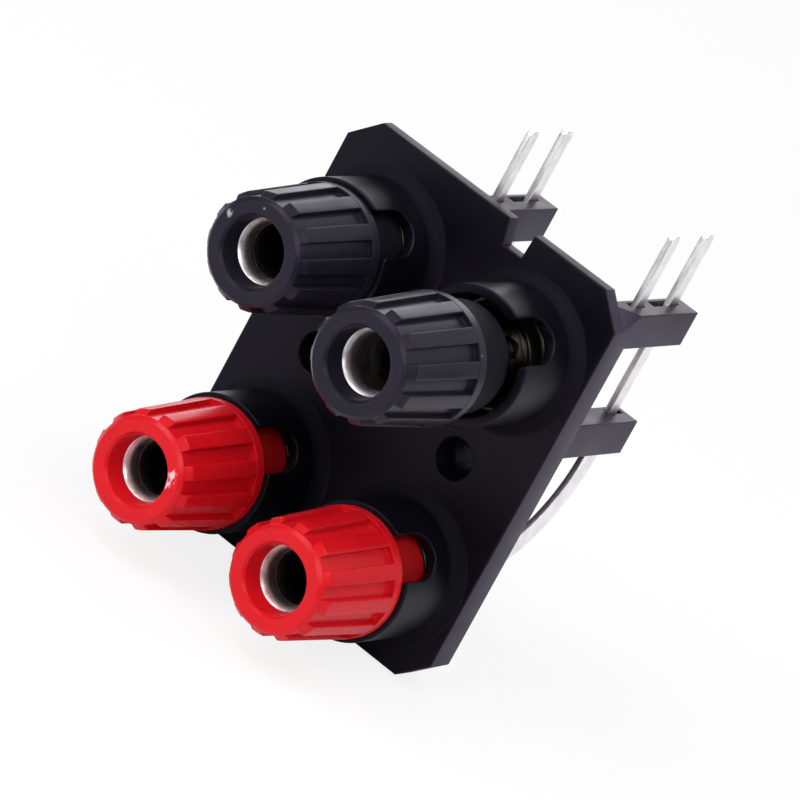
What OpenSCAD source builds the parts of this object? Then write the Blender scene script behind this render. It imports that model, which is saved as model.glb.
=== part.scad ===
// Four-way binding-post terminal block, to be screwed behind a panel.
// Frame: X across the columns, Y back from the plate's front face, Z up along the pins.
// The origin is midway between the two screw holes, on the plate's front face.

/* [Post layout] */
// Spacing of the two columns of posts
pitch_x = 14.2; // [13.6:0.1:18]
// Spacing of the black row above the red row
pitch_z = 19; // [17.5:0.1:24]
// How far the second black knob stands unscrewed
open_black_2 = 4.8; // [0:0.1:5.5]
// Turn of the first black knob's ribs
turn_black_1 = 18; // [0:1:30]
// Turn of the second black knob's ribs
turn_black_2 = 24; // [0:1:30]
// Turn of the first red knob's ribs
turn_red_1 = 0; // [0:1:30]
// Turn of the second red knob's ribs
turn_red_2 = 5; // [0:1:30]

/* [Plate] */
// Thickness of the plate
plate_t = 2.7; // [2:0.1:4]
// Thickness of the plate along its top edge
top_t = 1.2; // [0.8:0.1:1.8]
// Height of that thinner strip
top_h = 3.4; // [2.5:0.1:3.6]
// From the post axes to the plate's side edges
edge_side = 6.5; // [6.3:0.1:8.5]
// From the black post axes to the plate's top edge
edge_top = 8.2; // [7.6:0.1:11]
// From the red post axes to the plate's bottom edge
edge_bottom = 7; // [6.5:0.1:10]
// Chamfer at the plate's corners
corner_c = 2.3; // [0.5:0.1:3]
// Notch in the top edge: distance from the plate's middle
notch_x = 2.9; // [2:0.1:4]
// Notch in the top edge: width at its mouth
notch_w = 2.4; // [1:0.1:3]
// Notch in the top edge: depth
notch_d = 2; // [0.5:0.1:2.5]
// Draft of the notch on its first side
notch_draft = 0.5; // [0:0.1:0.8]

/* [Towers] */
// Height of the towers above the plate's front face
tower_h = 6.85; // [6:0.05:8]
// Wall of the towers round their cups
tower_wall = 0.8; // [0.6:0.05:1.2]
// Fillet where a tower meets the plate
tower_fillet = 1; // [0.3:0.1:1.2]
// Chamfer round a tower's rim
rim_c = 0.2; // [0.05:0.05:0.3]
// Height of the cups' floor above the plate's front face
cup_floor = 1.6; // [1:0.1:2]
// Width of the wire slot in a tower
slot_w = 3.5; // [2:0.1:4]
// Direction of the wire slots, from +X towards +Z
slot_angle = 45; // [0:5:90]
// Height of a slot's round end above the plate's front face
slot_floor = 2.8; // [2.4:0.1:3.5]

/* [Panel screws] */
// Spacing of the two screw holes
screw_pitch = 14.1; // [12:0.1:18]
// Radius of a hole's lead-in
lead_r = 1.6; // [1.4:0.05:2]
// Depth of the lead-in
lead_d = 2.2; // [1:0.1:3]
// Radius of the pilot hole for the thread-cutting screw
pilot_r = 1.2; // [0.8:0.05:1.3]
// Wall of a boss round its lead-in
boss_wall = 1; // [0.6:0.1:1.6]
// Length of a boss behind the plate
boss_len = 5.5; // [2:0.1:9]

/* [Rear arms] */
// Wall of an arm behind its last slot
arm_end = 0.6; // [0.3:0.1:3]
// Width of an arm
arm_w = 2.1; // [1.6:0.1:2.4]
// Height of an arm
arm_h = 2.9; // [2:0.1:4]
// Top of the upper arm, below the plate's top edge
arm_drop = 0.9; // [0.3:0.1:2]
// Top of the lower arm, below the black post axes
arm_low = 2.35; // [1.8:0.1:5]
// Length of the slope from the plate's cut corner up to the upper arm
arm_slope = 1.6; // [0.8:0.1:2]
// Height of the lip beside the upper arm's slots
lip_h = 0.4; // [0.2:0.05:0.8]
// Thickness of that lip
lip_t = 0.3; // [0.2:0.05:0.35]

/* [Metal posts] */
// Thread radius of a post
thread_r = 3; // [2.8:0.05:3.3]
// Radius of the plug socket in a post
socket_r = 2; // [1.6:0.05:2.2]
// Depth of the plug socket
socket_d = 10.4; // [7:0.1:10.5]
// Thickness of a post's flange
flange_t = 1; // [0.6:0.1:1.2]
// Thread radius of a post's tail
tail_r = 1.95; // [1.5:0.05:2.2]
// Length of tail behind its nut
tail_end = 0.7; // [0:0.1:2]
// Radius of the wire hole across a post
wire_r = 0.9; // [0.5:0.05:1]
// Height of the wire hole above the flange
wire_h = 2.1; // [1.2:0.1:3]

/* [Knobs] */
// Length of a knob from its collar to its face
knob_len = 9.7; // [8:0.1:13]
// Width of the collar
collar_w = 1; // [0.6:0.1:2]
// Plastic wall round the bush
knob_wall = 0.67; // [0.5:0.01:1]
// Height of the collar above the core
collar_h = 0.75; // [0.5:0.05:1]
// How much the knob narrows from its collar to its face, on the radius
knob_taper = 0.45; // [0.1:0.05:0.6]
// Chamfer round the face
face_c = 0.3; // [0.1:0.05:0.4]
// Depth of the flutes between the ribs
flute_d = 0.45; // [0.2:0.05:0.6]
// How far the ribs stay below the collar
rib_under = 0.02; // [0:0.02:0.2]
// Number of ribs
rib_count = 12; // [8:1:20]
// Share of the pitch that a rib takes
rib_share = 0.5; // [0.3:0.05:0.7]
// From the face to the ribs' front ends
rib_start = 0.3; // [0.3:0.05:1]
// Length of the slope at the ribs' front ends
rib_slope = 0.6; // [0.2:0.05:1]
// Depth of the round recess in the face
recess_d = 1.95; // [0.8:0.05:2.5]
// Bevel at the recess's mouth
recess_c = 0.2; // [0.1:0.05:0.3]
// Radius of the recess behind its bevel
recess_r = 2.64; // [2.5:0.01:2.8]
// Radius of the recess at the bush
recess_floor_r = 2.45; // [2.3:0.01:2.6]

/* [Bushes] */
// Wall of a bush round the thread
bush_wall = 0.45; // [0.3:0.05:0.7]
// Length of a bush's front lip
bush_lip = 1.3; // [0.8:0.1:2]
// Radius of the plug hole through the lip
bush_hole_r = 2.1; // [1.7:0.05:2.3]
// Depth of the countersink at the plug hole
bush_sink = 0.8; // [0.2:0.05:1]

/* [Contact strips] */
// Thickness of the strip metal
strip_t = 0.5; // [0.3:0.05:0.6]
// Inside radius of the fold
fold_r = 0.4; // [0.2:0.05:0.6]
// Radius of the lug round a post's tail
lug_r = 3.3; // [2.8:0.1:3.6]
// Height of the tab between lug and fold
tab_h = 2.6; // [1.6:0.1:3.2]
// Width of a pin
pin_w = 1.2; // [0.8:0.05:1.5]
// Length of the pins above the upper arm
pin_len = 6.1; // [3:0.1:10]
// Taper at a pin's tip
pin_tip = 0.5; // [0:0.1:1]
// From the plate's back to the front pins
pin_front = 0.8; // [0.75:0.05:1.2]
// Spacing of the front and rear pins
pin_pitch = 5; // [4.5:0.1:5.2]
// Width of the curved part of the long strips
band_w = 1.8; // [1.2:0.1:1.9]
// Angle that the curved part turns through
band_turn = 66; // [50:1:72]

/* [Nuts] */
// Width of a nut across its flats
nut_af = 7; // [6:0.1:7.4]
// Height of a nut
nut_h = 2.2; // [1.5:0.1:3.2]

/* [Clearances] */
// Running clearance of the bush on the thread, on the radius
run_gap = 0.05; // [0.02:0.01:0.1]
// Clearance between bush and knob, on the radius
bush_gap = 0.03; // [0.01:0.01:0.08]
// Clearance of a knob's stem in its cup, on the radius
stem_gap = 0.3; // [0.15:0.05:0.5]
// Clearance of a post's flange in its cup, on the radius
flange_gap = 0.2; // [0.1:0.05:0.4]
// Gap that a closed knob leaves at its seat and at the tower's rim
seat_gap = 0.1; // [0.05:0.05:0.3]
// Clearance of a tail in the plate, the lug and the nut, on the radius
tail_gap = 0.05; // [0.02:0.01:0.1]
// Clearance of a strip in an arm's slot, on each side
strip_gap = 0.08; // [0.05:0.01:0.15]

/* [Hidden] */
$fn = 64;
eps = 0.01;
// How far the ribs reach down into the core
rib_sink = 0.05;
// How far the arms reach into the plate
root_overlap = 0.1;

black_plastic = [0.10, 0.10, 0.12];
red_plastic = [0.80, 0.08, 0.10];
nickel = [0.75, 0.74, 0.72];
tin = [0.84, 0.84, 0.85];

// Places of the post axes: column 1 or 2, black row above, red row below
x_1 = -pitch_x / 2;
x_2 = pitch_x / 2;
z_black = pitch_z / 2;
z_red = -pitch_z / 2;

// Plate outline
plate_w = pitch_x + 2 * edge_side;
plate_top = z_black + edge_top;
plate_bottom = z_red - edge_bottom;

// Radii from the thread outwards, each wall and clearance added once
bush_bore_r = thread_r + run_gap;
bush_r = bush_bore_r + bush_wall;
knob_bore_r = bush_r + bush_gap;
core_r = knob_bore_r + knob_wall;
collar_r = core_r + collar_h;
cup_r = core_r + stem_gap;
tower_r = cup_r + tower_wall;
flange_r = cup_r - flange_gap;
flute_r = collar_r - flute_d;
flute_front_r = flute_r - knob_taper;

// Heights in front of the plate, for a closed knob
flange_top = cup_floor + flange_t;
stem_end = flange_top + seat_gap;
collar_rear = tower_h + seat_gap;
collar_front = collar_rear + collar_w;
face = collar_rear + knob_len;
bush_front = face - recess_d;
bush_rear = stem_end + seat_gap;
lip_rear = bush_front - bush_lip;
post_tip = lip_rear - seat_gap;

// Depths behind the plate's front face
lug_back = plate_t + strip_t;
nut_back = lug_back + nut_h;
tail_back = nut_back + tail_end;

// Rear arms, measured from the post axis of their column
arm_in = edge_side - arm_w;
arm_top = plate_top - arm_drop;
arm_low_top = z_black - arm_low;
slot_t = strip_t + 2 * strip_gap;
strip_x = arm_in + lip_t + strip_gap;
fold_x = strip_x + strip_t;

// Pins and bands, behind the plate's front face
pin_1 = plate_t + pin_front;
pin_2 = pin_1 + pin_pitch;
pin_top = arm_top + pin_len;
band_back = pin_2 + band_w;
arm_back = band_back + strip_gap + arm_end;
band_z = arm_low_top - arm_h - 1;
band_flat_y = lug_back + fold_r;
band_r = (pin_2 - band_flat_y + fold_r) / (1 - cos(band_turn));

// Rest the children's Z on the way forward from the plate's front face
module forward() {
    rotate([90, 0, 0]) children();
}

// Move a forward-built piece to a post axis
module at_post(x, z) {
    translate([x, 0, z]) forward() children();
}

// One moulded body: plate, slotted towers, screw bosses and rear arms
module terminal_body() {
    color(black_plastic)
    difference() {
        union() {
            plate();
            for (x = [x_1, x_2], z = [z_black, z_red]) at_post(x, z) tower();
            for (s = [-1, 1]) at_post(s * screw_pitch / 2, 0) screw_boss();
            for (x = [x_1, x_2]) {
                difference() {
                    arm(x, arm_top, top_t);
                    corner_slope();
                }
                arm(x, arm_low_top, plate_t);
                arm_lip(x);
            }
        }
        for (x = [x_1, x_2], z = [z_black, z_red]) at_post(x, z) tower_cuts();
        for (s = [-1, 1]) at_post(s * screw_pitch / 2, 0) screw_hole();
        for (x = [x_1, x_2]) {
            strip_slot(x, arm_top, pin_1 - pin_w / 2, pin_1 + pin_w + strip_gap);
            strip_slot(x, arm_top, pin_2 - pin_w * 2, pin_2 + pin_w + strip_gap);
            strip_slot(x, arm_low_top, pin_2 - strip_gap, band_back + strip_gap);
        }
    }
}

// Plate with chamfered corners, a thinner strip along its top and the notch in the top edge
module plate() {
    w = plate_w / 2;
    c = corner_c;
    n_1 = notch_x - notch_w / 2;
    n_2 = notch_x + notch_w / 2;
    floor_z = plate_top - notch_d;
    difference() {
        forward() translate([0, 0, -plate_t]) linear_extrude(plate_t) polygon([
            [-w, plate_bottom + c], [-w + c, plate_bottom], [w - c, plate_bottom], [w, plate_bottom + c],
            [w, plate_top - c], [w - c, plate_top],
            [n_2, plate_top], [n_2 - notch_draft / 4, floor_z],
            [n_1 + notch_draft, floor_z], [n_1, plate_top],
            [-w + c, plate_top], [-w, plate_top - c]
        ]);
        translate([-w - 1, top_t, plate_top - top_h]) cube([plate_w + 2, plate_t, top_h + 1]);
    }
}

// Round tower with a fillet at the plate and a chamfered rim
module tower() {
    f = tower_fillet;
    arc = [for (a = [0 : 15 : 90]) [tower_r + f - f * sin(a), f - f * cos(a)]];
    rotate_extrude() polygon(concat(
        [[0, -top_t / 2], [tower_r + f, -top_t / 2]],
        arc,
        [[tower_r, tower_h - rim_c], [tower_r - rim_c, tower_h], [0, tower_h]]
    ));
}

// Cup, wire slot and tail hole, cut through a tower and the plate behind it
module tower_cuts() {
    slot_r = slot_w / 2;
    reach = tower_r + tower_fillet + 1;
    translate([0, 0, cup_floor]) cylinder(r = cup_r, h = tower_h);
    translate([0, 0, -plate_t - eps]) cylinder(r = tail_r + tail_gap, h = plate_t + cup_floor + 1);
    rotate([0, 0, slot_angle]) {
        translate([0, 0, slot_floor + slot_r]) rotate([0, 90, 0]) cylinder(r = slot_r, h = reach);
        translate([0, -slot_r, slot_floor + slot_r]) cube([reach, slot_w, tower_h]);
    }
}

// Boss behind the plate for a panel screw
module screw_boss() {
    translate([0, 0, -plate_t - boss_len]) cylinder(r = lead_r + boss_wall, h = boss_len + plate_t / 2);
}

// Lead-in and pilot hole of a panel screw
module screw_hole() {
    depth = plate_t + boss_len;
    translate([0, 0, -lead_d]) cylinder(r = lead_r, h = lead_d + 1);
    translate([0, 0, -depth - 1]) cylinder(r = pilot_r, h = depth + 1);
}

// Bar that guides the strips behind a wall of the plate, flush with the edge of its column
module arm(x, top, wall) {
    root = wall - root_overlap;
    translate([x + arm_in, root, top - arm_h]) cube([arm_w, arm_back - root, arm_h]);
}

// Cut that slopes an arm's front end where the plate's corner is cut off
module corner_slope() {
    rise = (arm_top - plate_top + corner_c) / sqrt(2);
    start = top_t - root_overlap / 2;
    translate([plate_w / 2 - corner_c, 0, plate_top]) rotate([0, 45, 0]) translate([-1, 0, 0])
        rotate([90, 0, 90]) linear_extrude(corner_c * sqrt(2) + 2) polygon([
            [start - arm_slope, -rise], [start + arm_slope * 2, rise * 2],
            [start - arm_slope * 2, rise * 2], [start - arm_slope * 2, -rise]
        ]);
}

// Low lip on the inner side of the upper arm's slots
module arm_lip(x) {
    root = top_t - root_overlap;
    translate([x + arm_in, root, arm_top - eps]) cube([lip_t, pin_2 + pin_w - root, lip_h]);
}

// Slot down through an arm, from one depth behind the plate to another
module strip_slot(x, top, from_y, to_y) {
    translate([x + strip_x - strip_gap, from_y, top - arm_h - 1])
        cube([slot_t, to_y - from_y, arm_h + 2]);
}

// Ribbed knob with its stem: a core, tapered ribs, a collar and a recess in the face
module knob(x, z, out, turn, tint) {
    color(tint) at_post(x, z) translate([0, 0, out]) rotate([0, 0, turn]) difference() {
        union() {
            knob_core();
            intersection() {
                rib_sleeve();
                for (i = [0 : rib_count - 1]) rotate([0, 0, i * 360 / rib_count]) rib_sector();
            }
        }
        translate([0, 0, stem_end - 1]) cylinder(r = knob_bore_r, h = bush_front - stem_end + 1);
        recess();
    }
}

// Stem, collar and tapered core of a knob as one turned profile
module knob_core() {
    rotate_extrude() polygon([
        [0, stem_end], [core_r, stem_end], [core_r, collar_rear],
        [collar_r - rim_c, collar_rear], [collar_r, collar_rear + rim_c], [collar_r, collar_front],
        [flute_r, collar_front], [flute_front_r, face - face_c], [flute_front_r - face_c, face], [0, face]
    ]);
}

// Turned sleeve that the ribs are cut from: tapered, with a slope at its front end
module rib_sleeve() {
    foot = flute_front_r - rib_sink;
    top = collar_r - rib_under;
    rotate_extrude() polygon([
        [foot, collar_front - collar_w / 2], [top, collar_front - collar_w / 2], [top, collar_front],
        [top - knob_taper, face - rib_start - rib_slope], [foot, face - rib_start]
    ]);
}

// Recess in a knob's face down to the bush, with a bevelled mouth
module recess() {
    mouth_r = recess_r + recess_c;
    rotate_extrude() polygon([
        [0, bush_front - eps], [recess_floor_r, bush_front - eps], [recess_r, face - recess_c],
        [mouth_r, face], [mouth_r, face + 1], [0, face + 1]
    ]);
}

// Sector of the sleeve that one rib takes
module rib_sector() {
    half = 180 / rib_count * rib_share;
    foot = core_r - knob_wall;
    reach = 2 * collar_r;
    translate([0, 0, collar_rear]) linear_extrude(knob_len) polygon([
        [foot * cos(half), -foot * sin(half)], [reach * cos(half), -reach * sin(half)],
        [reach * cos(half), reach * sin(half)], [foot * cos(half), foot * sin(half)]
    ]);
}

// Threaded metal bush inside a knob, with a lip that shows in the face's recess
module bush(x, z, out) {
    color(nickel) at_post(x, z) translate([0, 0, out]) difference() {
        translate([0, 0, bush_rear]) cylinder(r = bush_r, h = bush_front - bush_rear);
        translate([0, 0, bush_rear - 1]) cylinder(r = bush_bore_r, h = lip_rear - bush_rear + 1);
        translate([0, 0, lip_rear - 1]) cylinder(r = bush_hole_r, h = bush_lip + 2);
        translate([0, 0, bush_front - bush_sink])
            cylinder(r1 = bush_hole_r, r2 = recess_floor_r, h = bush_sink + eps);
    }
}

// Hollow threaded post: plug socket, wire hole, flange on the cup's floor and a tail through the plate
module post(x, z) {
    color(nickel) at_post(x, z) difference() {
        union() {
            translate([0, 0, -tail_back]) cylinder(r = tail_r, h = tail_back + cup_floor + flange_t / 2);
            translate([0, 0, cup_floor]) cylinder(r = flange_r, h = flange_t);
            translate([0, 0, cup_floor]) cylinder(r = thread_r, h = post_tip - cup_floor);
        }
        translate([0, 0, post_tip - socket_d]) cylinder(r = socket_r, h = socket_d + 1);
        rotate([0, 0, slot_angle]) translate([-thread_r - 1, 0, flange_top + wire_h])
            rotate([0, 90, 0]) cylinder(r = wire_r, h = 2 * thread_r + 2, $fn = 32);
    }
}

// Lug under the nut with its tab, and the fold that turns the strip side-on
module lug_and_fold(x, z) {
    bend_x = fold_x - strip_t - fold_r;
    translate([x, lug_back, z]) forward() difference() {
        union() {
            cylinder(r = lug_r, h = strip_t);
            translate([0, -tab_h / 2, 0]) cube([bend_x, tab_h, strip_t]);
        }
        translate([0, 0, -1]) cylinder(r = tail_r + tail_gap, h = strip_t + 2);
    }
    translate([x + bend_x, lug_back + fold_r, z - tab_h / 2]) intersection() {
        difference() {
            cylinder(r = fold_r + strip_t, h = tab_h);
            translate([0, 0, -1]) cylinder(r = fold_r, h = tab_h + 2);
        }
        translate([0, -fold_r - strip_t, 0]) cube([fold_r + strip_t, fold_r + strip_t, tab_h]);
    }
}

// Flat of strip metal side-on, drawn as Y and Z
module side_flat(x) {
    translate([x + strip_x, 0, 0]) rotate([90, 0, 90]) linear_extrude(strip_t) children();
}

// Pin up through the upper arm, tapered at its tip
module pin_outline(y, from_z) {
    polygon([
        [y, from_z], [y + pin_w, from_z], [y + pin_w, pin_top - pin_tip],
        [y + pin_w * 0.75, pin_top], [y + pin_w * 0.25, pin_top], [y, pin_top - pin_tip]
    ]);
}

// Short strip: black post to the front pin
module strip_black(x) {
    low = z_black - tab_h / 2;
    color(tin) union() {
        lug_and_fold(x, z_black);
        side_flat(x) {
            translate([band_flat_y, low]) square([pin_1 + pin_w - band_flat_y, tab_h]);
            pin_outline(pin_1, low + tab_h);
        }
    }
}

// Long strip: red post, out along a curve, then up through both arms to the rear pin
module strip_red(x) {
    low = z_red - tab_h / 2;
    color(tin) union() {
        lug_and_fold(x, z_red);
        side_flat(x) {
            translate([band_flat_y, low]) square([pin_w, band_z - band_r * sin(band_turn) - low]);
            band_curve();
            translate([pin_2, band_z]) square([band_w, arm_low_top - arm_h / 2 - band_z]);
            pin_outline(pin_2, arm_low_top - arm_h / 2);
        }
    }
}

// Curved part of a long strip: a ring sector from the tab to the upright
module band_curve() {
    reach = band_r + band_w;
    translate([pin_2 - band_r, band_z]) intersection() {
        difference() {
            circle(r = reach, $fn = 128);
            circle(r = band_r, $fn = 128);
        }
        polygon([
            [0, 0], [2 * reach, 0],
            [2 * reach, -2 * reach * tan(band_turn / 2)],
            [2 * reach * cos(band_turn), -2 * reach * sin(band_turn)]
        ]);
    }
}

// Hexagon nut on a post's tail, against the lug
module nut(x, z) {
    color(nickel) translate([x, nut_back, z]) forward() difference() {
        cylinder(r = nut_af / sqrt(3), h = nut_h, $fn = 6);
        translate([0, 0, -1]) cylinder(r = tail_r + tail_gap, h = nut_h + 2);
    }
}

terminal_body();
knob(x_1, z_black, 0, turn_black_1, black_plastic);  // knob_black_1
knob(x_2, z_black, open_black_2, turn_black_2, black_plastic);  // knob_black_2
knob(x_1, z_red, 0, turn_red_1, red_plastic);  // knob_red_1
knob(x_2, z_red, 0, turn_red_2, red_plastic);  // knob_red_2
bush(x_1, z_black, 0);  // bush_black_1
bush(x_2, z_black, open_black_2);  // bush_black_2
bush(x_1, z_red, 0);  // bush_red_1
bush(x_2, z_red, 0);  // bush_red_2
post(x_1, z_black);  // post_black_1
post(x_2, z_black);  // post_black_2
post(x_1, z_red);  // post_red_1
post(x_2, z_red);  // post_red_2
strip_black(x_1);  // strip_black_1
strip_black(x_2);  // strip_black_2
strip_red(x_1);  // strip_red_1
strip_red(x_2);  // strip_red_2
nut(x_1, z_black);  // nut_black_1
nut(x_2, z_black);  // nut_black_2
nut(x_1, z_red);  // nut_red_1
nut(x_2, z_red);  // nut_red_2
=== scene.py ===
# %% [markdown]
# A binding post terminal block. A moulded black plate carries four posts; each post
# stands in a slotted cup and wears a ribbed screw knob, black in the upper row and red
# in the lower one. Behind the plate, flat contact strips are bent round to board pins.
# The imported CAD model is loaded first: it fixes every size and every moving body, and
# the finer pieces made here take the place of its plain solids.

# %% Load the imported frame
from math import acos, asin, atan2, cos, pi, radians, sin, sqrt, tan
import bmesh
import bpy
import numpy as np
from mathutils import Matrix, Vector
from mathutils.geometry import delaunay_2d_cdt


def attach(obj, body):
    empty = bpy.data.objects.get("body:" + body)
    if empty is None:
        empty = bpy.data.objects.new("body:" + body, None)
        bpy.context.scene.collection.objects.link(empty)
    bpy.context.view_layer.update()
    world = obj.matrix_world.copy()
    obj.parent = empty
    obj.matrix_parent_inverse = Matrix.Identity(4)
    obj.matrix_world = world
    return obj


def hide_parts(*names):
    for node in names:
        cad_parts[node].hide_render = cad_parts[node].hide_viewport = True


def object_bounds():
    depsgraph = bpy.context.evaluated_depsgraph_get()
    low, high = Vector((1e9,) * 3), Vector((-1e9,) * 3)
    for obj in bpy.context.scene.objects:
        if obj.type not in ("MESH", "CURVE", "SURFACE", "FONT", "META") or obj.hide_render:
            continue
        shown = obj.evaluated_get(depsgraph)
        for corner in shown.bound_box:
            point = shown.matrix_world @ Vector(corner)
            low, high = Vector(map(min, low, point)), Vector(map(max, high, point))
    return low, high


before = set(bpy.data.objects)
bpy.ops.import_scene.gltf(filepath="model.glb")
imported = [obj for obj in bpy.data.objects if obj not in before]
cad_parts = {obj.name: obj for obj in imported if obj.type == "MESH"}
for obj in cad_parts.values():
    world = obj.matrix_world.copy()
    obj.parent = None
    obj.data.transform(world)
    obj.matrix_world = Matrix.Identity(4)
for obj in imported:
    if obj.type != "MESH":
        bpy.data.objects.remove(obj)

cad_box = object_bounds()
print("CAD box, mm:", [[round(v * 1000, 2) for v in corner] for corner in cad_box])

# %% [markdown]
# The CAD model is in metres, but the sizes of such a small thing are easier to read in
# millimetres, so each shape below is drawn in millimetres and scaled once, when its mesh
# is made. Each post has a place on the plate (x, z), a distance that its knob is screwed
# out, and the angle at which its ribs stand. One helper puts any object into the scene.

# %% Sizes that several pieces share
MM = 0.001
COLUMN, ROW = 7.1, 9.5
POSTS = {
    "black_1": (-COLUMN, ROW, 0.0, 18.0),
    "black_2": (COLUMN, ROW, 4.8, 24.0),
    "red_1": (-COLUMN, -ROW, 0.0, 0.0),
    "red_2": (COLUMN, -ROW, 0.0, 5.0),
}
scene = bpy.context.scene


def show(name, data):
    made = bpy.data.objects.new(name, data)
    scene.collection.objects.link(made)
    return made


print("posts:", ", ".join(POSTS))

# %% [markdown]
# The camera stands where the photograph was taken: about half a metre away, a little
# above the block and to its right, with a long lens. Its axes were worked out from known
# points of the block, and a small aim to the right and down puts the block in the middle.
# The block was not square to the floor in the picture, so the camera is rolled instead of
# the block.

# %% Camera
AIM_RIGHT, AIM_DOWN = 0.0170, 0.0053
eye = Vector((211.818, -425.860, 164.080)) * MM
right = Vector((0.7111567, 0.5431705, 0.4463428))
down = Vector((0.5523091, -0.0388337, -0.8327344))
ahead = Vector((-0.4349836, 0.8387239, -0.3276149))
ahead = (ahead + AIM_RIGHT * right + AIM_DOWN * down).normalized()
right = (right - right.dot(ahead) * ahead).normalized()
up = right.cross(ahead)
lens_data = bpy.data.cameras.new("photo_view")
lens_data.sensor_width = 36.0
lens_data.lens = 305.0
lens_data.clip_start = 0.01
camera = show("photo_view", lens_data)
turned_to = Matrix((right, up, -ahead)).transposed().to_4x4()
camera.matrix_world = Matrix.Translation(eye) @ turned_to
scene.camera = camera
scene.view_settings.view_transform = "Standard"
print("camera at, mm:", [round(v / MM, 1) for v in eye], "lens", lens_data.lens)

# %% [markdown]
# Finishes and Geometry Nodes are both built from nodes, and each node needs the same few
# moves. So five helpers come first. `add` makes a node and fills its sockets, with a plain
# value or with a link from another node. `calc` does one sum, `ramp` maps one range of
# values onto another, and `noise` makes a noise texture. `shader_group` starts a group,
# which holds an effect that more than one finish needs.

# %% Node helpers
FLOAT, VECTOR = "NodeSocketFloat", "NodeSocketVector"


def add(tree, kind, sockets=None, **settings):
    made = tree.nodes.new(kind)
    for key, value in settings.items():
        setattr(made, key, value)
    for key, value in (sockets or {}).items():
        if isinstance(value, bpy.types.NodeSocket):
            tree.links.new(value, made.inputs[key])
        else:
            made.inputs[key].default_value = value
    return made


def calc(tree, operation, *terms, clamp=False):
    return add(tree, "ShaderNodeMath", dict(enumerate(terms)),
               operation=operation, use_clamp=clamp).outputs[0]


def ramp(tree, value, low, high, to_low=0.0, to_high=1.0):
    return add(tree, "ShaderNodeMapRange", {
        "Value": value, "From Min": low, "From Max": high,
        "To Min": to_low, "To Max": to_high}, clamp=True).outputs["Result"]


def noise(tree, vector, scale, detail):
    return add(tree, "ShaderNodeTexNoise", {
        "Vector": vector, "Scale": scale, "Detail": detail}).outputs["Fac"]


def shader_group(name, inputs, outputs):
    group = bpy.data.node_groups.new(name, "ShaderNodeTree")
    for label, kind, value in inputs:
        socket = group.interface.new_socket(label, in_out="INPUT", socket_type=kind)
        if value is not None:
            socket.default_value = value
    for label in outputs:
        group.interface.new_socket(label, in_out="OUTPUT", socket_type=FLOAT)
    return group, add(group, "NodeGroupInput").outputs


print("node helpers ready")

# %% [markdown]
# A product photograph like this one is lit by large soft panels round a white table. Three
# of them light the block: one above it, one at the right in front, and a stronger one at
# the left in front. Two more stand behind it and show only as glints, so edges and sides
# glow while the plate's front stays deep black. The world gives a little light from
# everywhere. The floor mostly shines by itself for the camera, so that it reads as white
# paper, but part of it is still a real surface that takes a shadow.

# %% Light and floor
COOL_WHITE, WHITE = (0.97, 0.95, 1.0), (1.0, 1.0, 1.0, 1.0)
AMBIENT, PAPER_GLOW, FLOOR_REACH = 0.17, 0.84, 3.0


def seen_mix(tree, output, share, other, seen):
    camera_ray = add(tree, "ShaderNodeLightPath").outputs["Is Camera Ray"]
    mixed = add(tree, "ShaderNodeMixShader", {
        "Fac": calc(tree, "MULTIPLY", camera_ray, share), 1: other.outputs[0], 2: seen.outputs[0]})
    add(tree, output, {"Surface": mixed.outputs[0]})


world = bpy.data.worlds.new("white_tent")
scene.world = world
world.use_nodes = True
w = world.node_tree
w.nodes.clear()
seen_mix(w, "ShaderNodeOutputWorld", 1.0,
         add(w, "ShaderNodeBackground", {"Color": (*COOL_WHITE, 1.0), "Strength": AMBIENT}),
         add(w, "ShaderNodeBackground", {"Color": WHITE, "Strength": 1.0}))


def panel(name, towards, distance, width, height, glow, glint_only=False):
    data = bpy.data.lights.new(name, "AREA")
    data.shape = "RECTANGLE"
    data.size, data.size_y = width, height
    data.energy = glow * pi * width * height
    data.color = COOL_WHITE
    lamp = show(name, data)
    lamp.location = Vector(towards).normalized() * distance
    lamp.rotation_euler = (-lamp.location).to_track_quat("-Z", "Y").to_euler()
    lamp.visible_camera = False
    lamp.visible_diffuse = not glint_only
    print("panel", name, "watts:", round(data.energy, 2))


panel("back_panel", (-0.52, 0.80, 0.36), 1.0, 1.0, 0.7, 2.6, glint_only=True)
panel("back_right_panel", (0.36, 0.84, 0.40), 1.0, 0.6, 0.7, 0.7, glint_only=True)
panel("top_panel", (0.34, 0.06, 0.94), 0.9, 0.5, 0.5, 3.8)
panel("right_panel", (0.54, -0.60, 0.60), 0.8, 0.4, 0.4, 4.6)
panel("left_panel", (-0.32, -0.62, 0.72), 0.9, 0.6, 0.6, 6.0)

floor_z = cad_box[0][2] - 0.0002
floor_mesh = bpy.data.meshes.new("paper_floor")
floor_mesh.from_pydata([(x * FLOOR_REACH, y * FLOOR_REACH, floor_z)
                        for x, y in ((-1, -1), (1, -1), (1, 1), (-1, 1))], [], [(0, 1, 2, 3)])
floor = show("paper_floor", floor_mesh)
paper = bpy.data.materials.new("white_paper")
paper.use_nodes = True
t = paper.node_tree
t.nodes.clear()
seen_mix(t, "ShaderNodeOutputMaterial", PAPER_GLOW,
         add(t, "ShaderNodeBsdfDiffuse", {"Color": (0.92, 0.92, 0.92, 1.0)}),
         add(t, "ShaderNodeEmission", {"Strength": 1.0}))
floor_mesh.materials.append(paper)
print("floor at z, mm:", round(floor_z / MM, 2))

# %% [markdown]
# Moulded plastic is never perfectly even. Its skin has a very fine grain, copied from
# the steel of the mould, and broad soft patches where the plastic cooled at different
# speeds. Two noise textures of very different scale give both; the scales are large
# numbers because Object coordinates are in metres and the part is a few centimetres.

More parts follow.
